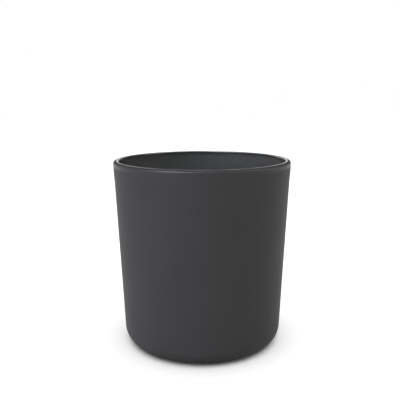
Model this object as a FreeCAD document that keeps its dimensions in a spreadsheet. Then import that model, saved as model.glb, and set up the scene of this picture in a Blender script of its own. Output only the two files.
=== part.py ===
"""Empty candle jar: a tapered round glass tumbler with a matt lacquer film on its outside.

The row frame is the jar's own: Z is the jar's axis, pointing up out of the mouth, and the origin is
the middle of the ring that the jar stands on. Lengths are in millimetres.

The jar is three separate solids. The glass tumbler carries everything. The wall lacquer is the film
from the crest of the lip, down the wall and round the heel, and the base lacquer is the film in the
hollow of the underside. Between them the standing ring is bare glass.
"""

import FreeCAD, Part
import math
import os

import Sketcher

# Every driving dimension, with what it is. Lengths in millimetres, counts as plain numbers.
DIMENSIONS = [
    ("glass_height", 83.8, "standing ring to the top of the bare glass lip"),
    ("foot_diameter", 72.1, "wall's outside, carried down to the floor past the heel"),
    ("top_diameter", 79.7, "wall's outside, carried up to the lip without its bead"),
    ("heel_radius", 6.8, "rounding between the wall and the underside"),
    ("bead_proud", 0.12, "how far the lip's bead stands out from the wall"),
    ("bead_land", 3.0, "straight part of the bead, below the lip's rounding"),
    ("bead_blend", 70.0, "radius of the two arcs that lead from the wall to the bead"),
    ("lip_outer_radius", 1.3, "outside rounding of the lip"),
    ("lip_inner_radius", 0.45, "inside rounding of the lip"),
    ("mouth_diameter", 75.2, "round mouth that takes a lid"),
    ("mouth_depth", 10.0, "lip's top to the lower end of the parallel mouth"),
    ("cavity_foot_diameter", 66.4, "cavity wall, carried down to the cavity's floor"),
    ("cavity_floor", 8.8, "cavity's floor above the standing ring, at its edge"),
    ("cavity_dish", 0.7, "how far the cavity's floor dips in the middle"),
    ("cavity_corner", 6.0, "rounding between the cavity's wall and floor"),
    ("ring_inner_diameter", 53.6, "inner edge of the flat standing ring"),
    ("punt_height", 2.4, "hollow of the underside, in the middle"),
    ("notch_count", 60, "grip notches round the standing ring"),
    ("notch_length", 1.3, "along the radius"),
    ("notch_width", 0.7, "across the radius"),
    ("notch_depth", 0.12, "into the ring"),
    ("notch_circle", 56.4, "diameter of the circle through the notches' middles"),
    ("film", 0.1, "thickness of the lacquer"),
    ("film_foot_diameter", 62.8, "lower edge of the wall lacquer, on the heel"),
    ("film_base_diameter", 51.8, "edge of the base lacquer, in the hollow"),
]
SIZE = {alias: value for alias, value, _ in DIMENSIONS}

SHEET = "Dimensions"
FULL_TURN = 360.0
VOLUME_MARGIN = 1e-6
# The share of the notches' volume that their cut may miss.
NOTCH_MARGIN = 0.01
# Where the cavity corner's centre starts, in corner radii from the wall's foot.
CORNER_START_IN, CORNER_START_UP = 0.96, 0.95
H_AXIS, V_AXIS = -1, -2
START, END, CENTRE = 1, 2, 3
ORIGIN = (H_AXIS, START)


def add_sheet(doc):
    """The spreadsheet of driving dimensions, one alias to a row."""
    sheet = doc.addObject("Spreadsheet::Sheet", SHEET)
    for row, (alias, value, meaning) in enumerate(DIMENSIONS, start=1):
        sheet.set(f"A{row}", alias)
        sheet.set(f"B{row}", str(value))
        sheet.set(f"C{row}", meaning)
        sheet.setAlias(f"B{row}", alias)
    doc.recompute()
    return sheet


def cells(formula):
    """The formula with each alias read from the sheet."""
    words = formula.split()
    return " ".join(f"{SHEET}.{w}" if w in SIZE else w for w in words)


def add_body(doc, label):
    body = doc.addObject("PartDesign::Body", label)
    body.Label = label
    return body


def add_sketch(body, name, plane):
    """An empty sketch on one of the body's own origin planes."""
    sketch = body.newObject("Sketcher::SketchObject", name)
    planes = [f for f in body.Origin.OriginFeatures if f.Role == plane]
    sketch.AttachmentSupport = [(planes[0], "")]
    sketch.MapMode = "FlatFace"
    return sketch


def vec(point):
    return FreeCAD.Vector(point[0], point[1], 0)


class Drawing:
    """Draws a profile in a sketch: the first figure is radius, the second is height."""

    def __init__(self, sketch):
        self.sketch = sketch

    def line(self, start, end):
        return self.sketch.addGeometry(Part.LineSegment(vec(start), vec(end)), False)

    def arc(self, centre, radius, start_deg, end_deg):
        """An arc that runs anticlockwise from start_deg to end_deg."""
        circle = Part.Circle(vec(centre), FreeCAD.Vector(0, 0, 1), radius)
        arc = Part.ArcOfCircle(circle, math.radians(start_deg), math.radians(end_deg))
        return self.sketch.addGeometry(arc, False)

    def mark(self, point):
        """A construction point."""
        return self.sketch.addGeometry(Part.Point(vec(point)), True)

    def hold(self, kind, *where):
        self.sketch.addConstraint(Sketcher.Constraint(kind, *where))

    def measure(self, kind, *where, value, formula):
        """A dimension, bound to the sheet."""
        index = self.sketch.addConstraint(Sketcher.Constraint(kind, *where, value))
        self.sketch.setExpression(f"Constraints[{index}]", cells(formula))

    def on_axis(self, figure, end):
        self.hold("PointOnObject", figure, end, V_AXIS)

    def place(self, figure, end, point, radius_formula, height_formula):
        """Fixes a point off both axes by its radius and its height."""
        self.measure("DistanceX", *ORIGIN, figure, end, value=point[0], formula=radius_formula)
        self.measure("DistanceY", *ORIGIN, figure, end, value=point[1], formula=height_formula)


def wall_lines():
    """The wall's direction, its outward normal and the tangent of its taper."""
    taper = (SIZE["top_diameter"] - SIZE["foot_diameter"]) / 2 / SIZE["glass_height"]
    angle = math.atan(taper)
    along = (math.sin(angle), math.cos(angle))
    outward = (math.cos(angle), -math.sin(angle))
    return along, outward, taper


def shifted(point, *moves):
    """The point after moves of (direction, distance)."""
    x, y = point
    for (dx, dy), distance in moves:
        x, y = x + dx * distance, y + dy * distance
    return (x, y)


def draw_outside(drawing, offset):
    """Draws the outside from the underside's flat to the lip's crest, offset outwards from the glass.

    Returns the first point of the heel's arc and the last of the lip's arc, as (figure, end, point).
    """
    along, outward, taper = wall_lines()
    taper_deg = math.degrees(math.atan(taper))
    heel, lip, blend = SIZE["heel_radius"], SIZE["lip_outer_radius"], SIZE["bead_blend"]
    proud, height = SIZE["bead_proud"], SIZE["glass_height"]
    stretch = 1 / outward[0]
    foot = SIZE["foot_diameter"] / 2

    heel_centre = (foot + heel * taper - heel * stretch, heel)
    lip_height = height - lip
    lip_centre = (foot + lip_height * taper + (proud - lip) * stretch, lip_height)
    bead_top = shifted(lip_centre, (outward, lip))
    bead_foot = shifted(bead_top, (along, -SIZE["bead_land"]))
    run = math.sqrt(4 * blend * proud - proud**2)
    bead_centre = shifted(bead_foot, (outward, -blend))
    flare_centre = shifted(bead_foot, (outward, blend - proud), (along, -run))
    turn = math.degrees(math.asin(run / (2 * blend)))
    wall_foot = shifted(heel_centre, (outward, heel + offset))
    wall_top = shifted(flare_centre, (outward, offset - blend))

    heel_arc = drawing.arc(heel_centre, heel + offset, -90, -taper_deg)
    wall = drawing.line(wall_foot, wall_top)
    flare = drawing.arc(flare_centre, blend - offset, 180 - taper_deg - turn, 180 - taper_deg)
    bead = drawing.arc(bead_centre, blend + offset, -taper_deg - turn, -taper_deg)
    land = drawing.line(shifted(bead_foot, (outward, offset)), shifted(bead_top, (outward, offset)))
    lip_arc = drawing.arc(lip_centre, lip + offset, -taper_deg, 90)

    drawing.hold("Tangent", heel_arc, END, wall, START)
    drawing.hold("Tangent", wall, END, flare, END)
    drawing.hold("Tangent", flare, START, bead, START)
    drawing.hold("Tangent", bead, END, land, START)
    drawing.hold("Tangent", land, END, lip_arc, START)
    drawing.hold("Parallel", wall, land)

    film = " + film" if offset else ""
    drawing.measure("Radius", heel_arc, value=heel + offset, formula="heel_radius" + film)
    drawing.measure("Radius", lip_arc, value=lip + offset, formula="lip_outer_radius" + film)
    drawing.measure("Radius", bead, value=blend + offset, formula="bead_blend" + film)
    drawing.measure(
        "Radius", flare, value=blend - offset, formula="bead_blend" + film.replace("+", "-")
    )
    drawing.measure(
        "DistanceY", *ORIGIN, heel_arc, CENTRE, value=heel, formula="heel_radius"
    )
    drawing.measure(
        "DistanceY", *ORIGIN, lip_arc, CENTRE, value=lip_height,
        formula="glass_height - lip_outer_radius",
    )
    drawing.measure(
        "Distance", land, START, land, END, value=SIZE["bead_land"], formula="bead_land"
    )
    drawing.measure(
        "Distance", land, END, wall, value=proud, formula="bead_proud"
    )
    for radius, level, formula, level_formula in (
        (foot, 0, "foot_diameter / 2", None),
        (SIZE["top_diameter"] / 2, height, "top_diameter / 2", "glass_height"),
    ):
        mark = drawing.mark((radius, level))
        drawing.measure("DistanceX", *ORIGIN, mark, START, value=radius, formula=formula)
        if level_formula:
            drawing.measure(
                "DistanceY", *ORIGIN, mark, START, value=level, formula=level_formula
            )
        else:
            drawing.hold("PointOnObject", mark, START, H_AXIS)
        if offset:
            drawing.measure("Distance", mark, START, wall, value=offset, formula="film")
        else:
            drawing.hold("PointOnObject", mark, START, wall)
    heel_start = (heel_arc, START, (heel_centre[0], -offset))
    lip_end = (lip_arc, END, (lip_centre[0], height + offset))
    return heel_start, lip_end


def draw_solid_form(sketch, offset):
    """The outside with nothing hollowed out, closed down the axis."""
    drawing = Drawing(sketch)
    (heel_arc, heel_end, low), (lip_arc, lip_end, high) = draw_outside(drawing, offset)
    floor = drawing.line((0, low[1]), low)
    top = drawing.line(high, (0, high[1]))
    axis = drawing.line((0, high[1]), (0, low[1]))
    drawing.hold("Tangent", floor, END, heel_arc, heel_end)
    drawing.hold("Tangent", lip_arc, lip_end, top, START)
    drawing.hold("Horizontal", floor)
    drawing.hold("Horizontal", top)
    drawing.hold("Coincident", top, END, axis, START)
    drawing.hold("Coincident", axis, END, floor, START)
    drawing.on_axis(axis, START)
    drawing.on_axis(axis, END)


def dome_radius(half_width, rise):
    """The radius of an arc that rises this far over this half width."""
    return (half_width**2 + rise**2) / (2 * rise)


def draw_punt_arc(drawing, inset, edge_deg):
    """An arc of the underside's hollow, centred on the axis, from edge_deg up to the axis.

    The inset is how far the arc lies inside the glass's own, towards the centre.
    """
    half_width, rise = SIZE["ring_inner_diameter"] / 2, SIZE["punt_height"]
    radius = dome_radius(half_width, rise)
    centre = (0, rise - radius)
    arc = drawing.arc(centre, radius - inset, edge_deg, 90)
    drawing.on_axis(arc, END)
    return arc


def draw_tumbler(sketch):
    """The whole section of the glass: underside, outside, lip, mouth and cavity."""
    drawing = Drawing(sketch)
    (heel_arc, heel_end, low), (lip_arc, lip_end, high) = draw_outside(drawing, 0)
    ring_inner, punt = SIZE["ring_inner_diameter"] / 2, SIZE["punt_height"]
    mouth, round_in = SIZE["mouth_diameter"] / 2, SIZE["lip_inner_radius"]
    height, corner = SIZE["glass_height"], SIZE["cavity_corner"]
    land_foot = (mouth, height - SIZE["mouth_depth"])

    punt_radius = dome_radius(ring_inner, punt)
    punt_edge_deg = math.degrees(math.acos(ring_inner / punt_radius))
    punt_arc = draw_punt_arc(drawing, 0, punt_edge_deg)
    ring = drawing.line((ring_inner, 0), low)
    crest = drawing.line(high, (mouth + round_in, height))
    lip_inside = drawing.arc((mouth + round_in, height - round_in), round_in, 90, 180)
    mouth_land = drawing.line((mouth, height - round_in), land_foot)

    # The cavity's wall, floor and corner, near enough for the sketch's solver to start from.
    floor_level = SIZE["cavity_floor"]
    cavity_foot = SIZE["cavity_foot_diameter"] / 2
    lean_deg = math.degrees(math.atan((mouth - cavity_foot) / (land_foot[1] - floor_level)))
    dish_radius = dome_radius(cavity_foot, SIZE["cavity_dish"])
    dish_centre = (0, floor_level - SIZE["cavity_dish"] + dish_radius)
    corner_centre = (
        cavity_foot - corner * CORNER_START_IN, floor_level + corner * CORNER_START_UP
    )
    dish_deg = math.degrees(math.asin(corner_centre[0] / dish_radius))
    wall_foot = shifted(
        corner_centre,
        ((math.cos(math.radians(lean_deg)), -math.sin(math.radians(lean_deg))), corner),
    )
    cavity_wall = drawing.line(land_foot, wall_foot)
    cavity_corner = drawing.arc(corner_centre, corner, dish_deg - 90, -lean_deg)
    dish = drawing.arc(dish_centre, dish_radius, -90, dish_deg - 90)
    axis = drawing.line((0, floor_level - SIZE["cavity_dish"]), (0, punt))

    drawing.on_axis(punt_arc, CENTRE)
    drawing.hold("Coincident", punt_arc, START, ring, START)
    drawing.hold("Tangent", ring, END, heel_arc, heel_end)
    drawing.hold("Horizontal", ring)
    drawing.hold("Tangent", lip_arc, lip_end, crest, START)
    drawing.hold("Horizontal", crest)
    drawing.hold("Tangent", crest, END, lip_inside, START)
    drawing.hold("Tangent", lip_inside, END, mouth_land, START)
    drawing.hold("Vertical", mouth_land)
    drawing.hold("Coincident", mouth_land, END, cavity_wall, START)
    drawing.hold("Tangent", cavity_wall, END, cavity_corner, END)
    drawing.hold("Tangent", cavity_corner, START, dish, END)
    drawing.on_axis(dish, CENTRE)
    drawing.on_axis(dish, START)
    drawing.hold("Coincident", dish, START, axis, START)
    drawing.hold("Coincident", axis, END, punt_arc, END)

    drawing.measure(
        "DistanceX", *ORIGIN, ring, START, value=ring_inner, formula="ring_inner_diameter / 2"
    )
    drawing.measure("DistanceY", *ORIGIN, punt_arc, END, value=punt, formula="punt_height")
    drawing.measure("Radius", lip_inside, value=round_in, formula="lip_inner_radius")
    drawing.measure("Radius", cavity_corner, value=corner, formula="cavity_corner")
    drawing.place(
        mouth_land, END, land_foot, "mouth_diameter / 2", "glass_height - mouth_depth"
    )
    # The cavity's wall and floor would meet at this mark if the corner weren't rounded.
    meeting = drawing.mark((cavity_foot, floor_level))
    drawing.place(
        meeting, START, (cavity_foot, floor_level), "cavity_foot_diameter / 2", "cavity_floor"
    )
    drawing.hold("PointOnObject", meeting, START, cavity_wall)
    drawing.hold("PointOnObject", meeting, START, dish)
    drawing.measure(
        "DistanceY", *ORIGIN, dish, START, value=floor_level - SIZE["cavity_dish"],
        formula="cavity_floor - cavity_dish",
    )


def draw_notch(sketch):
    """One grip notch, a rectangle across the standing ring at the +X side."""
    drawing = Drawing(sketch)
    middle = SIZE["notch_circle"] / 2
    half_length, half_width = SIZE["notch_length"] / 2, SIZE["notch_width"] / 2
    corners = [
        (middle - half_length, -half_width),
        (middle + half_length, -half_width),
        (middle + half_length, half_width),
        (middle - half_length, half_width),
    ]
    sides = [drawing.line(a, b) for a, b in zip(corners, corners[1:] + corners[:1])]
    for side, following in zip(sides, sides[1:] + sides[:1]):
        drawing.hold("Coincident", side, END, following, START)
    for side in sides[::2]:
        drawing.hold("Horizontal", side)
    for side in sides[1::2]:
        drawing.hold("Vertical", side)
    drawing.measure(
        "DistanceY", *ORIGIN, sides[2], END, value=half_width, formula="notch_width / 2"
    )
    drawing.measure(
        "DistanceX", *ORIGIN, sides[0], START, value=middle - half_length,
        formula="notch_circle / 2 - notch_length / 2",
    )
    drawing.measure(
        "DistanceX", sides[0], START, sides[0], END, value=2 * half_length,
        formula="notch_length",
    )
    drawing.measure(
        "DistanceY", sides[1], START, sides[1], END, value=2 * half_width,
        formula="notch_width",
    )


def draw_film_trim(sketch):
    """What the wall lacquer leaves bare: the mouth inside the lip's crest, and the underside."""
    drawing = Drawing(sketch)
    _, outward, taper = wall_lines()
    lip, height = SIZE["lip_outer_radius"], SIZE["glass_height"]
    crest = (
        SIZE["foot_diameter"] / 2 + (height - lip) * taper
        + (SIZE["bead_proud"] - lip) / outward[0]
    )
    foot = SIZE["film_foot_diameter"] / 2
    past, step = SIZE["heel_radius"], height - SIZE["mouth_depth"]
    corners = [
        (0, -past),
        (foot, -past),
        (foot, step),
        (crest, step),
        (crest, height + past),
        (0, height + past),
    ]
    sides = [drawing.line(a, b) for a, b in zip(corners, corners[1:] + corners[:1])]
    for side, following in zip(sides, sides[1:] + sides[:1]):
        drawing.hold("Coincident", side, END, following, START)
    for side in sides[::2]:
        drawing.hold("Horizontal", side)
    for side in sides[1::2]:
        drawing.hold("Vertical", side)
    drawing.on_axis(sides[0], START)
    drawing.place(
        sides[1], END, corners[2], "film_foot_diameter / 2", "glass_height - mouth_depth"
    )
    drawing.measure("DistanceY", sides[0], START, *ORIGIN, value=past, formula="heel_radius")
    drawing.measure(
        "DistanceY", *ORIGIN, sides[4], START, value=height + past,
        formula="glass_height + heel_radius",
    )
    drawing.measure(
        "DistanceX", *ORIGIN, sides[4], START, value=crest,
        formula=(
            "foot_diameter / 2 + ( glass_height - lip_outer_radius )"
            " * ( top_diameter - foot_diameter ) / 2 / glass_height"
            " + ( bead_proud - lip_outer_radius )"
            " * sqrt( 1 + ( ( top_diameter - foot_diameter ) / 2 / glass_height ) ^ 2 )"
        ),
    )


def draw_base_film(sketch):
    """The film under the hollow: two arcs about one centre, cut off square at the film's edge."""
    drawing = Drawing(sketch)
    half_width, rise, film = SIZE["ring_inner_diameter"] / 2, SIZE["punt_height"], SIZE["film"]
    radius = dome_radius(half_width, rise)
    edge = SIZE["film_base_diameter"] / 2
    glass_side = draw_punt_arc(drawing, 0, math.degrees(math.acos(edge / radius)))
    open_side = draw_punt_arc(drawing, film, math.degrees(math.acos(edge / (radius - film))))
    centre_height = rise - radius
    rim_top = (edge, centre_height + math.sqrt(radius**2 - edge**2))
    rim_foot = (edge, centre_height + math.sqrt((radius - film) ** 2 - edge**2))
    rim = drawing.line(rim_foot, rim_top)
    axis = drawing.line((0, rise), (0, rise - film))
    drawing.on_axis(glass_side, CENTRE)
    drawing.hold("Coincident", glass_side, CENTRE, open_side, CENTRE)
    drawing.hold("Coincident", open_side, START, rim, START)
    drawing.hold("Coincident", glass_side, START, rim, END)
    drawing.hold("Vertical", rim)
    drawing.hold("Coincident", glass_side, END, axis, START)
    drawing.hold("Coincident", open_side, END, axis, END)
    ring_edge = drawing.mark((half_width, 0))
    drawing.hold("PointOnObject", ring_edge, START, H_AXIS)
    drawing.hold("PointOnObject", ring_edge, START, glass_side)
    drawing.measure(
        "DistanceX", *ORIGIN, ring_edge, START, value=half_width,
        formula="ring_inner_diameter / 2",
    )
    drawing.measure("DistanceY", *ORIGIN, glass_side, END, value=rise, formula="punt_height")
    drawing.measure("DistanceY", axis, END, axis, START, value=film, formula="film")
    drawing.measure(
        "DistanceX", *ORIGIN, rim, START, value=edge, formula="film_base_diameter / 2"
    )


def turned(body, kind, name, draw):
    """A full turn of a sketch about the jar's axis: a Revolution adds it, a Groove cuts it away."""
    sketch = add_sketch(body, f"{name}_profile", "XZ_Plane")
    draw(sketch)
    body.Document.recompute()
    before = body.Shape.Volume if body.Shape.Solids else 0
    feature = body.newObject(f"PartDesign::{kind}", name)
    feature.Profile = sketch
    feature.ReferenceAxis = (sketch, ["V_Axis"])
    feature.Angle = FULL_TURN
    body.Document.recompute()
    changed = abs(body.Shape.Volume - before)
    if sketch.solve() != 0 or changed < VOLUME_MARGIN:
        raise RuntimeError(f"{name} did not solve or changed nothing")


def make_tumbler(doc):
    """The glass: one turned section, with grip notches moulded into its standing ring."""
    body = add_body(doc, "glass_tumbler")
    turned(body, "Revolution", "tumbler", draw_tumbler)
    before = body.Shape.Volume
    sketch = add_sketch(body, "notch_profile", "XY_Plane")
    draw_notch(sketch)
    doc.recompute()
    notch = body.newObject("PartDesign::Pocket", "notch")
    notch.Profile = sketch
    notch.Type = 0
    notch.setExpression("Length", cells("notch_depth"))
    notch.Reversed = True
    doc.recompute()
    ring = body.newObject("PartDesign::PolarPattern", "notch_ring")
    ring.Originals = [notch]
    ring.Axis = (sketch, ["N_Axis"])
    ring.Angle = FULL_TURN
    ring.setExpression("Occurrences", cells("notch_count"))
    body.Tip = ring
    doc.recompute()
    cut = before - body.Shape.Volume
    wanted = math.prod(SIZE[f"notch_{part}"] for part in ("length", "width", "depth", "count"))
    if abs(cut - wanted) > NOTCH_MARGIN * wanted:
        raise RuntimeError(f"the notches cut {cut:.3f} mm3 where {wanted:.3f} was meant")
    return body


def make_wall_lacquer(doc):
    """The film on the lip's outside, the wall and the heel."""
    body = add_body(doc, "wall_lacquer")
    turned(
        body, "Revolution", "film_outside", lambda sketch: draw_solid_form(sketch, SIZE["film"])
    )
    turned(body, "Groove", "glass_outside", lambda sketch: draw_solid_form(sketch, 0))
    turned(body, "Groove", "film_edges", draw_film_trim)
    return body


def make_base_lacquer(doc):
    """The film in the hollow of the underside."""
    body = add_body(doc, "base_lacquer")
    turned(body, "Revolution", "base_film", draw_base_film)
    return body


def check(doc, bodies):
    """Stops unless every object is computed and every sub-part is one valid solid."""
    for item in doc.Objects:
        if {"Invalid", "Error"} & set(item.State):
            raise RuntimeError(f"{item.Label} is {item.State}")
    for body in bodies:
        shape = body.Shape
        if shape.isNull() or not shape.isValid() or len(shape.Solids) != 1:
            raise RuntimeError(f"{body.Label} is not one valid solid")
    for index, body in enumerate(bodies):
        for other in bodies[index + 1 :]:
            shared = body.Shape.common(other.Shape).Volume
            if shared > VOLUME_MARGIN:
                raise RuntimeError(f"{body.Label} and {other.Label} share {shared:.5f} mm3")


def main():
    doc = FreeCAD.newDocument("candle_jar")
    add_sheet(doc)
    bodies = [make_tumbler(doc), make_wall_lacquer(doc), make_base_lacquer(doc)]
    doc.recompute()
    check(doc, bodies)
    os.makedirs("parts", exist_ok=True)
    for body in bodies:
        body.Shape.exportStep(os.path.join("parts", f"{body.Label}.step"))
        box = body.Shape.optimalBoundingBox()
        print(
            f"{body.Label}: {body.Shape.Volume / 1000:.3f} cm3,"
            f" {box.XLength:.2f} x {box.YLength:.2f} mm, Z {box.ZMin:.3f} to {box.ZMax:.3f}"
        )


main()
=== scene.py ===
"""Looks of the empty candle jar: a clear glass tumbler under a matt black lacquer.

The glass is the CAD node itself. The two lacquer films are built here as finely turned shells, because
their edges are hand-masked and feather out, and because the side of the film that touches the glass
shows through it. Lengths are in metres, in the jar's own frame: Z is the jar's axis and the origin is
the middle of the standing ring.
"""

import math

import bmesh
import bpy
from mathutils import Matrix, Vector, noise


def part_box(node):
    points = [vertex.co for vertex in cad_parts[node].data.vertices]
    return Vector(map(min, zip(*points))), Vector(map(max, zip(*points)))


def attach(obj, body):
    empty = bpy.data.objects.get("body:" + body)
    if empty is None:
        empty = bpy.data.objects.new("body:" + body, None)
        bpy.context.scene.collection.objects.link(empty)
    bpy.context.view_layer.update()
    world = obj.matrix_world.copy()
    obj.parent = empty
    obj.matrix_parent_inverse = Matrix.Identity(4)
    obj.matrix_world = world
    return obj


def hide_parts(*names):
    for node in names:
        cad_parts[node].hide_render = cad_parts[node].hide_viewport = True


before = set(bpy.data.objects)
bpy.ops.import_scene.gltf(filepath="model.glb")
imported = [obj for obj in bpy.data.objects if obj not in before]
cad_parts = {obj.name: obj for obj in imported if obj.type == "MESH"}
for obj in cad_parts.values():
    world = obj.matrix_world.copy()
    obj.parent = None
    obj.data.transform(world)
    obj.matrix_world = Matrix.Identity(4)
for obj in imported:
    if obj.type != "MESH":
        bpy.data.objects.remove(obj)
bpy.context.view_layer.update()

MM = 0.001

# The jar's outside, from its CAD box and the few radii that a box doesn't tell.
FILM = 0.1 * MM
RIM_RADIUS = min(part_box("wall_lacquer")[1].xy)
GLASS_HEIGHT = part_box("glass_tumbler")[1].z
LIP_RADIUS = 1.3 * MM
HEEL_RADIUS = 6.8 * MM
BEAD_PROUD = 0.12 * MM
BEAD_LAND = 3.0 * MM
BEAD_BLEND = 70.0 * MM
DRAFT = math.radians(2.57)
PUNT_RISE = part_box("base_lacquer")[1].z
RING_INNER_RADIUS = 26.8 * MM
BASE_FILM_RADIUS = min(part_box("base_lacquer")[1].xy)
HEEL_FILM_RADIUS = 31.4 * MM

# How the films end, and how they sit on the glass.
SINK = 0.05 * MM
FEATHER = 0.30 * MM
EDGE_WANDER = 0.10 * MM
EDGE_STEPS = (0.0, 0.04 * MM, 0.09 * MM, 0.15 * MM, 0.22 * MM, 0.30 * MM)
TURN_STEPS = 288
OUTSIDE_STEPS = (20, 30, 6, 6, 3, 16, 3)
PUNT_STEPS = (24,)
SAME_PLACE = 1e-7

# The films' materials, by face: the open side, the side on the glass, and the very top of the lip.
OPEN_SIDE, GLASS_SIDE, CREST = 0, 1, 2
CREST_DEPTH = 0.55 * MM

# Heights over which the lacquer's finish changes: rubbed at the heel and on the lip, smoother on the bead.
HEEL_RUB = (0.3 * MM, 2.6 * MM)
LIP_RUB = (GLASS_HEIGHT - 1.0 * MM, GLASS_HEIGHT)
BEAD_GLOSS = (GLASS_HEIGHT - 3.2 * MM, GLASS_HEIGHT - 1.6 * MM)
CREST_DUST = (GLASS_HEIGHT - 0.7 * MM, GLASS_HEIGHT - 0.3 * MM)

# The camera, as the jar was seen: from in front and a little above the rim.
CAMERA_PLACE = Vector((0.0, -0.23856, 0.11016))
CAMERA_PITCH = math.radians(10.747)
CAMERA_YAW = math.radians(0.225)
CAMERA_ROLL = math.radians(0.185)
CAMERA_LENS = 47.34

# The room: a wide pale floor, and a surround that is bright low down and dimmer overhead.
FLOOR_HALF = 3.0
SURROUND_LOW = 1.0
SURROUND_HIGH = 0.3
SURROUND_EDGES = (math.sin(math.radians(10)), math.sin(math.radians(25)))
COOL = (0.88, 0.88, 0.98)
WARM = (1.0, 0.98, 0.88)


def grey(level, blue=0.0):
    """A near-neutral colour, a little towards blue."""
    return (level * (1 - blue / 2), level, level * (1 + blue), 1.0)


# The finishes.
LACQUER_DARK = grey(0.0112, 0.03)
LACQUER_LIGHT = grey(0.0150, 0.03)
LACQUER_RUBBED = grey(0.024, 0.03)
LACQUER_ROUGHNESS = 0.60
LACQUER_BEAD_ROUGHNESS = 0.38
LACQUER_CREST_ROUGHNESS = 0.75
LACQUER_SPECULAR = 0.2
CREST_SPECULAR = 0.02
# The lacquer's side on the glass, as painted light: several times lighter and a little bluer than the open
# side, standing in for the cool light that reaches the jar's inside through the glass.
LIT_BEHIND_DARK = grey(0.062, 0.07)
LIT_BEHIND_LIGHT = grey(0.074, 0.07)
BEHIND_SPECK = grey(0.11, 0.07)
GLASS_TINT = (0.930, 0.930, 0.860, 1.0)
PAPER_DARK = grey(0.84)
PAPER_LIGHT = grey(0.88)


class Path:
    """A curve in the (radius, height) plane, made of arcs and lines, read by its length."""

    def __init__(self):
        self.pieces = []
        self.length = 0.0

    def arc(self, centre, radius, start, end, outward=1.0):
        """An arc from angle start to angle end. outward is -1 where its open side faces the centre."""
        span = abs(end - start) * radius

        def at(s):
            angle = start + (end - start) * s / span
            way = (math.cos(angle), math.sin(angle))
            point = (centre[0] + radius * way[0], centre[1] + radius * way[1])
            return point, (way[0] * outward, way[1] * outward)

        self.add(span, at)

    def line(self, start, end):
        """A line whose open side is on its right."""
        dx, dy = end[0] - start[0], end[1] - start[1]
        span = math.hypot(dx, dy)

        def at(s):
            return (start[0] + dx * s / span, start[1] + dy * s / span), (dy / span, -dx / span)

        self.add(span, at)

    def add(self, span, at):
        self.pieces.append((self.length, span, at))
        self.length += span

    def at(self, s):
        """The point at length s, and its normal on the open side."""
        for start, span, at in self.pieces:
            if s <= start + span:
                break
        return at(min(max(s - start, 0.0), span))

    def length_at_radius(self, radius):
        """The length at which the first piece of the path comes to this radius."""
        low, high = 0.0, self.pieces[0][1]
        rising = self.at(high)[0][0] > self.at(low)[0][0]
        for _ in range(50):
            middle = (low + high) / 2
            if (self.at(middle)[0][0] < radius) == rising:
                low = middle
            else:
                high = middle
        return low

    def stations(self, counts):
        """Lengths along the path, with so many steps on each of its pieces."""
        found = []
        for (start, span, _), count in zip(self.pieces, counts):
            found += [start + span * i / count for i in range(count)]
        return found + [self.length]


def outside_path():
    """The glass's outside, from the middle of the standing ring's outer side up to the lip's crest."""
    sine, cosine = math.sin(DRAFT), math.cos(DRAFT)
    rim = RIM_RADIUS - FILM
    lip_centre = (rim - LIP_RADIUS, GLASS_HEIGHT - LIP_RADIUS)
    bead_top = (lip_centre[0] + LIP_RADIUS * cosine, lip_centre[1] - LIP_RADIUS * sine)
    bead_foot = (bead_top[0] - BEAD_LAND * sine, bead_top[1] - BEAD_LAND * cosine)
    bead_centre = (bead_foot[0] - BEAD_BLEND * cosine, bead_foot[1] + BEAD_BLEND * sine)
    turn = math.acos(1 - BEAD_PROUD / (2 * BEAD_BLEND))
    middle = -DRAFT - turn
    meeting = (
        bead_centre[0] + BEAD_BLEND * math.cos(middle),
        bead_centre[1] + BEAD_BLEND * math.sin(middle),
    )
    flare_centre = (2 * meeting[0] - bead_centre[0], 2 * meeting[1] - bead_centre[1])
    wall_top = (flare_centre[0] - BEAD_BLEND * cosine, flare_centre[1] + BEAD_BLEND * sine)
    wall_foot_height = HEEL_RADIUS * (1 - sine)
    run = (wall_top[1] - wall_foot_height) / cosine
    wall_foot = (wall_top[0] - run * sine, wall_foot_height)
    heel_centre = (wall_foot[0] - HEEL_RADIUS * cosine, HEEL_RADIUS)

    path = Path()
    path.arc(heel_centre, HEEL_RADIUS, -math.pi / 2, -DRAFT)
    path.line(wall_foot, wall_top)
    path.arc(flare_centre, BEAD_BLEND, math.pi - DRAFT, math.pi - DRAFT - turn, outward=-1.0)
    path.arc(bead_centre, BEAD_BLEND, -DRAFT - turn, -DRAFT)
    path.line(bead_foot, bead_top)
    path.arc(lip_centre, LIP_RADIUS, -DRAFT, math.pi / 2)
    path.line((lip_centre[0], GLASS_HEIGHT), (lip_centre[0] - FEATHER, GLASS_HEIGHT))
    return path


def punt_path():
    """The hollow of the underside, from the standing ring's inner edge to the axis."""
    radius = (RING_INNER_RADIUS**2 + PUNT_RISE**2) / (2 * PUNT_RISE)
    path = Path()
    path.arc(
        (0.0, PUNT_RISE - radius), radius, math.acos(RING_INNER_RADIUS / radius), math.pi / 2,
        outward=-1.0,
    )
    return path


def wander(angle, seed):
    """How far a masked edge strays at this angle round the jar: slow waves, and a little tremor."""
    place = Vector((math.cos(angle), math.sin(angle), seed))
    return EDGE_WANDER * (0.8 * noise.noise(place * 2.0) + 0.35 * noise.noise(place * 11.0))


def film_height(distance):
    """The film's height over the glass at this distance in from its edge."""
    share = min(distance / FEATHER, 1.0)
    return FILM * share * share * (3 - 2 * share)


def film_section(path, first, last, inner, closed_end):
    """Points of the film's section, there along its open side and back along the glass."""
    lengths = [first + step for step in EDGE_STEPS] + inner
    if not closed_end:
        lengths += [last - step for step in reversed(EDGE_STEPS)]
    out, back = [], []
    for s in lengths:
        (radius, height), (across, up) = path.at(s)
        rise = film_height(s - first)
        if not closed_end:
            rise = min(rise, film_height(last - s))
        out.append((radius + across * rise, height + up * rise))
        back.append((radius - across * SINK, height - up * SINK))
    return out, back


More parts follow.
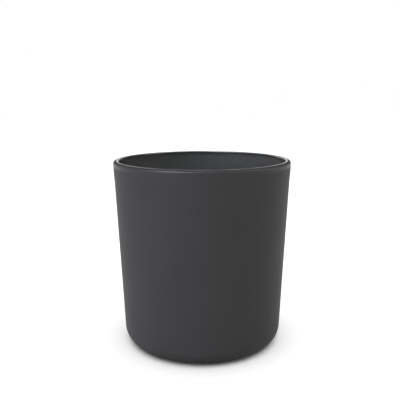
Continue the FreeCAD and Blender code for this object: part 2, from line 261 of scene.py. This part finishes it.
def turned_shell(name, sections, closed_end):
    """A shell turned about Z, from one section for each step of the turn."""
    shell = bmesh.new()
    sides = len(sections[0][0])
    rings = []
    for turn, (out, back) in enumerate(sections):
        angle = 2 * math.pi * turn / len(sections)
        across, along = math.cos(angle), math.sin(angle)
        points = out + back[::-1]
        rings.append([shell.verts.new((r * across, r * along, height)) for r, height in points])
    for here, there in zip(rings, rings[1:] + rings[:1]):
        for i in range(len(here)):
            if closed_end and i == sides - 1:
                continue
            j = (i + 1) % len(here)
            face = shell.faces.new((here[i], here[j], there[j], there[i]))
            face.smooth = True
            face.material_index = GLASS_SIDE if i >= sides else OPEN_SIDE
    bmesh.ops.remove_doubles(shell, verts=shell.verts, dist=SAME_PLACE)
    bmesh.ops.recalc_face_normals(shell, faces=shell.faces)
    mesh = bpy.data.meshes.new(name)
    shell.to_mesh(mesh)
    shell.free()
    piece = bpy.data.objects.new(name, mesh)
    bpy.context.scene.collection.objects.link(piece)
    return piece


def sections_round(path, first, last, counts, closed_end=False):
    """The film's section at every step of the turn. Its masked edges wander a little as they go round."""
    edge = EDGE_STEPS[-1] + 2 * EDGE_WANDER
    end_edge = 0.0 if closed_end else edge
    inner = [s for s in path.stations(counts) if first + edge < s <= last - end_edge]
    found = []
    for turn in range(TURN_STEPS):
        angle = 2 * math.pi * turn / TURN_STEPS
        start = first + wander(angle, first / MM)
        end = last if closed_end else last + wander(angle, last / MM)
        found.append(film_section(path, start, end, inner, closed_end))
    return found


def make_wall_lacquer():
    """The film from the lip's crest, down the wall and round the heel."""
    path = outside_path()
    first = path.length_at_radius(HEEL_FILM_RADIUS)
    last = path.length - FEATHER
    piece = turned_shell("wall_film", sections_round(path, first, last, OUTSIDE_STEPS), False)
    for face in piece.data.polygons:
        if face.material_index == OPEN_SIDE and face.center.z > GLASS_HEIGHT - CREST_DEPTH:
            face.material_index = CREST
    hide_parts("wall_lacquer")
    return piece


def make_base_lacquer():
    """The film in the hollow of the underside."""
    path = punt_path()
    first = path.length_at_radius(BASE_FILM_RADIUS)
    sections = sections_round(path, first, path.length, PUNT_STEPS, closed_end=True)
    piece = turned_shell("base_film", sections, True)
    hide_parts("base_lacquer")
    return piece


class Shader:
    """Builds one material's nodes. A value is a number, a colour or another node's output."""

    def __init__(self, name):
        self.material = bpy.data.materials.new(name)
        self.material.use_nodes = True
        self.tree = self.material.node_tree
        self.tree.nodes.clear()

    def node(self, kind, settings=None, **values):
        made = self.tree.nodes.new(kind)
        for key, value in (settings or {}).items():
            setattr(made, key, value)
        for key, value in values.items():
            self.put(made.inputs[key.replace("_", " ")], value)
        return made

    def put(self, socket, value):
        if isinstance(value, bpy.types.NodeSocket):
            self.tree.links.new(value, socket)
        else:
            socket.default_value = value

    def place(self):
        """The point on the piece, in metres in the jar's frame."""
        return self.node("ShaderNodeTexCoord").outputs["Object"]

    def pattern(self, features_per_metre, detail=2.0, roughness=0.5, stretch=None):
        """Noise from about 0 to 1, in features of this size."""
        place = self.place()
        if stretch:
            place = self.node("ShaderNodeMapping", Vector=place, Scale=stretch).outputs["Vector"]
        return self.node(
            "ShaderNodeTexNoise", Vector=place, Scale=features_per_metre, Detail=detail,
            Roughness=roughness,
        ).outputs["Fac"]

    def span(self, value, low, high, to_low, to_high, smooth=False):
        """Maps low..high to to_low..to_high, and stops at both ends."""
        made = self.node("ShaderNodeMapRange", {"clamp": True})
        made.interpolation_type = "SMOOTHSTEP" if smooth else "LINEAR"
        for socket, number in zip(made.inputs, (value, low, high, to_low, to_high)):
            self.put(socket, number)
        return made.outputs["Result"]

    def sum(self, *values):
        total = values[0]
        for value in values[1:]:
            made = self.node("ShaderNodeMath", {"operation": "ADD"})
            self.put(made.inputs[0], total)
            self.put(made.inputs[1], value)
            total = made.outputs["Value"]
        return total

    def product(self, first, second):
        made = self.node("ShaderNodeMath", {"operation": "MULTIPLY"})
        self.put(made.inputs[0], first)
        self.put(made.inputs[1], second)
        return made.outputs["Value"]

    def blend(self, share, first, second):
        """The first colour where share is 0, and the second where it is 1."""
        made = self.node("ShaderNodeMix", {"data_type": "RGBA"})
        self.put(made.inputs["Factor"], share)
        self.put(made.inputs[6], first)
        self.put(made.inputs[7], second)
        return made.outputs[2]

    def bumps(self, *layers):
        """A normal from (height, height in metres) layers, each laid over the one before."""
        normal = None
        for height, distance in layers:
            made = self.node("ShaderNodeBump", Strength=1.0, Distance=distance, Height=height)
            if normal:
                self.put(made.inputs["Normal"], normal)
            normal = made.outputs["Normal"]
        return normal

    def height(self):
        """How far up the jar a point is, in metres."""
        return self.node("ShaderNodeSeparateXYZ", Vector=self.place()).outputs["Z"]

    def finish(self, **values):
        surface = self.node("ShaderNodeBsdfPrincipled", **values)
        output = self.node("ShaderNodeOutputMaterial")
        self.tree.links.new(surface.outputs["BSDF"], output.inputs["Surface"])
        return self.material


def lacquer_material(name, specular):
    """Sprayed matt lacquer: a faint orange peel, matting grain, and polish where it gets rubbed.

    It flows smoother over the bead of the lip, and is dusty with overspray on the very crest.
    """
    paint = Shader(name)
    cloud = paint.pattern(55.0, detail=4.0)
    peel = paint.pattern(620.0, detail=1.0)
    grain = paint.pattern(4200.0, detail=2.0)
    heel_rub = paint.span(paint.height(), *HEEL_RUB, 1.0, 0.0, smooth=True)
    lip_rub = paint.span(paint.height(), *LIP_RUB, 0.0, 1.0, smooth=True)
    rub = paint.product(
        paint.sum(heel_rub, lip_rub), paint.span(paint.pattern(260.0, detail=3.0), 0.4, 0.7, 0.3, 1.0)
    )
    tone = paint.blend(cloud, LACQUER_DARK, LACQUER_LIGHT)
    bead_gloss = paint.span(
        paint.height(), *BEAD_GLOSS, 0.0, LACQUER_BEAD_ROUGHNESS - LACQUER_ROUGHNESS, smooth=True
    )
    crest_dust = paint.span(
        paint.height(), *CREST_DUST, 0.0, LACQUER_CREST_ROUGHNESS - LACQUER_BEAD_ROUGHNESS,
        smooth=True,
    )
    roughness = paint.sum(
        paint.span(cloud, 0.3, 0.7, LACQUER_ROUGHNESS - 0.03, LACQUER_ROUGHNESS + 0.03),
        paint.product(grain, 0.04),
        paint.product(rub, -0.06),
        bead_gloss,
        crest_dust,
    )
    return paint.finish(
        Base_Color=paint.blend(paint.product(rub, 0.6), tone, LACQUER_RUBBED),
        Roughness=roughness,
        IOR=1.5,
        Specular_IOR_Level=specular,
        Normal=paint.bumps((peel, 0.010 * MM), (grain, 0.0015 * MM)),
    )


def lit_lacquer_behind_glass_material():
    """The side of the lacquer that lies on the glass: an even grey with a few pale specks, painted lighter
    and bluer than the open side as painted light on the jar's inside.
    """
    paint = Shader("lacquer_on_glass_painted_light")
    cloud = paint.pattern(70.0, detail=3.0)
    speck = paint.span(paint.pattern(2600.0, detail=1.0), 0.70, 0.76, 0.0, 1.0)
    tone = paint.blend(cloud, LIT_BEHIND_DARK, LIT_BEHIND_LIGHT)
    return paint.finish(
        Base_Color=paint.blend(paint.product(speck, 0.35), tone, BEHIND_SPECK),
        Roughness=paint.span(cloud, 0.3, 0.7, 0.52, 0.60),
        IOR=1.5,
        Specular_IOR_Level=0.1,
    )


def glass_material():
    """Pressed soda-lime glass: a little olive, a little wavy, and clear."""
    glass = Shader("clear_glass")
    wave = glass.pattern(85.0, detail=1.0, stretch=(1.0, 1.0, 0.45))
    haze = glass.pattern(38.0, detail=4.0)
    return glass.finish(
        Base_Color=GLASS_TINT,
        Roughness=glass.span(haze, 0.45, 0.75, 0.01, 0.05),
        IOR=1.52,
        Transmission_Weight=1.0,
        Normal=glass.bumps((wave, 0.05 * MM)),
    )


def floor_material():
    """Plain pale paper."""
    paper = Shader("pale_paper")
    fibre = paper.pattern(1400.0, detail=3.0)
    return paper.finish(
        Base_Color=paper.blend(fibre, PAPER_DARK, PAPER_LIGHT),
        Roughness=0.9,
        Specular_IOR_Level=0.2,
        Normal=paper.bumps((fibre, 0.02 * MM)),
    )


def wear(piece, *materials):
    """Adds the materials in order to a piece that has none yet, so its faces keep their indices."""
    for material in materials:
        piece.data.materials.append(material)


def make_object():
    """The jar's three pieces, each in its finish; the two films ride on the jar's one body."""
    skin = lacquer_material("matt_lacquer", LACQUER_SPECULAR)
    crest = lacquer_material("lacquer_crest", CREST_SPECULAR)
    # The lacquer's side on the glass is painted lighter than its open side, as painted light on the jar's
    # inside.
    back, glass = lit_lacquer_behind_glass_material(), glass_material()
    films = [make_wall_lacquer(), make_base_lacquer()]
    for piece in films:
        wear(piece, skin, back, crest)
        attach(piece, "root")
    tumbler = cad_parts["glass_tumbler"]
    tumbler.material_slots[0].material = glass
    return films + [tumbler]


def make_floor():
    """A flat sheet of pale paper, level with the jar's standing ring."""
    corners = [(-FLOOR_HALF, -FLOOR_HALF, 0), (FLOOR_HALF, -FLOOR_HALF, 0)]
    corners += [(FLOOR_HALF, FLOOR_HALF, 0), (-FLOOR_HALF, FLOOR_HALF, 0)]
    mesh = bpy.data.meshes.new("floor")
    mesh.from_pydata(corners, [], [(0, 1, 2, 3)])
    floor = bpy.data.objects.new("floor", mesh)
    bpy.context.scene.collection.objects.link(floor)
    wear(floor, floor_material())


def direction(azimuth, elevation):
    """The way to a light, in degrees. Azimuth 0 is the camera's side, and 90 its right."""
    turn, lift = math.radians(azimuth), math.radians(elevation)
    return Vector(
        (math.sin(turn) * math.cos(lift), -math.cos(turn) * math.cos(lift), math.sin(lift))
    )


def add_softbox(name, azimuth, elevation, distance, width, height, power, colour=(1, 1, 1)):
    """A rectangular soft light aimed at the jar."""
    light = bpy.data.lights.new(name, "AREA")
    light.shape = "RECTANGLE"
    light.size, light.size_y = width, height
    light.energy = power
    light.color = colour
    lamp = bpy.data.objects.new(name, light)
    bpy.context.scene.collection.objects.link(lamp)
    away = direction(azimuth, elevation)
    middle = Vector((0, 0, GLASS_HEIGHT / 2))
    lamp.location = middle + away * distance
    lamp.rotation_euler = away.to_track_quat("Z", "Y").to_euler()
    return lamp


def add_sky_lamp(name, azimuth, elevation, spread, strength, colour=(1, 1, 1)):
    """A round soft light so far off that it shines evenly everywhere. spread is in degrees."""
    light = bpy.data.lights.new(name, "SUN")
    light.angle = math.radians(spread)
    light.energy = strength
    light.color = colour
    lamp = bpy.data.objects.new(name, light)
    bpy.context.scene.collection.objects.link(lamp)
    lamp.rotation_euler = direction(azimuth, elevation).to_track_quat("Z", "Y").to_euler()
    return lamp


def light_only(lamps, pieces):
    """Lets these lamps light the pieces alone, so that they cast no shadows on the floor."""
    subject = bpy.data.collections.new("subject")
    for piece in pieces:
        subject.objects.link(piece)
    for lamp in lamps:
        lamp.light_linking.receiver_collection = subject


def surround():
    """A white room, bright up to a little above the jar and dimmer towards the ceiling."""
    world = bpy.data.worlds.new("surround")
    world.use_nodes = True
    tree = world.node_tree
    way = tree.nodes.new("ShaderNodeTexCoord")
    height = tree.nodes.new("ShaderNodeSeparateXYZ")
    fade = tree.nodes.new("ShaderNodeMapRange")
    fade.interpolation_type = "SMOOTHSTEP"
    for socket, number in zip(fade.inputs[1:], (*SURROUND_EDGES, SURROUND_LOW, SURROUND_HIGH)):
        socket.default_value = number
    background = tree.nodes["Background"]
    background.inputs["Color"].default_value = (1, 1, 1, 1)
    tree.links.new(way.outputs["Generated"], height.inputs["Vector"])
    tree.links.new(height.outputs["Z"], fade.inputs["Value"])
    tree.links.new(fade.outputs["Result"], background.inputs["Strength"])
    return world


def make_light(jar):
    """Two key lamps on the left, a fill on the right, one lamp overhead and the bright surround."""
    keys = [
        add_softbox(
            "key_low", azimuth=-57, elevation=8, distance=1.1, width=1.0, height=0.29, power=3.3,
            colour=COOL,
        ),
        add_sky_lamp(
            "key_high", azimuth=-46, elevation=46, spread=34, strength=6.2, colour=COOL
        ),
        add_softbox(
            "fill_right", azimuth=78, elevation=27, distance=1.2, width=0.9, height=0.5, power=5.4,
            colour=WARM,
        ),
    ]
    light_only(keys, jar)
    add_sky_lamp("overhead", azimuth=0, elevation=88, spread=90, strength=4.0)
    bpy.context.scene.world = surround()
    bpy.context.scene.view_settings.view_transform = "Standard"


def make_camera():
    """The scene's camera, at the place and angle that the jar was seen from."""
    data = bpy.data.cameras.new("camera")
    data.lens = CAMERA_LENS
    data.sensor_width = 36.0
    camera = bpy.data.objects.new("camera", data)
    bpy.context.scene.collection.objects.link(camera)
    camera.matrix_world = (
        Matrix.Translation(CAMERA_PLACE)
        @ Matrix.Rotation(CAMERA_YAW, 4, "Z")
        @ Matrix.Rotation(math.pi / 2 - CAMERA_PITCH, 4, "X")
        @ Matrix.Rotation(-CAMERA_ROLL, 4, "Z")
    )
    bpy.context.scene.camera = camera


jar = make_object()
make_floor()
make_light(jar)
make_camera()
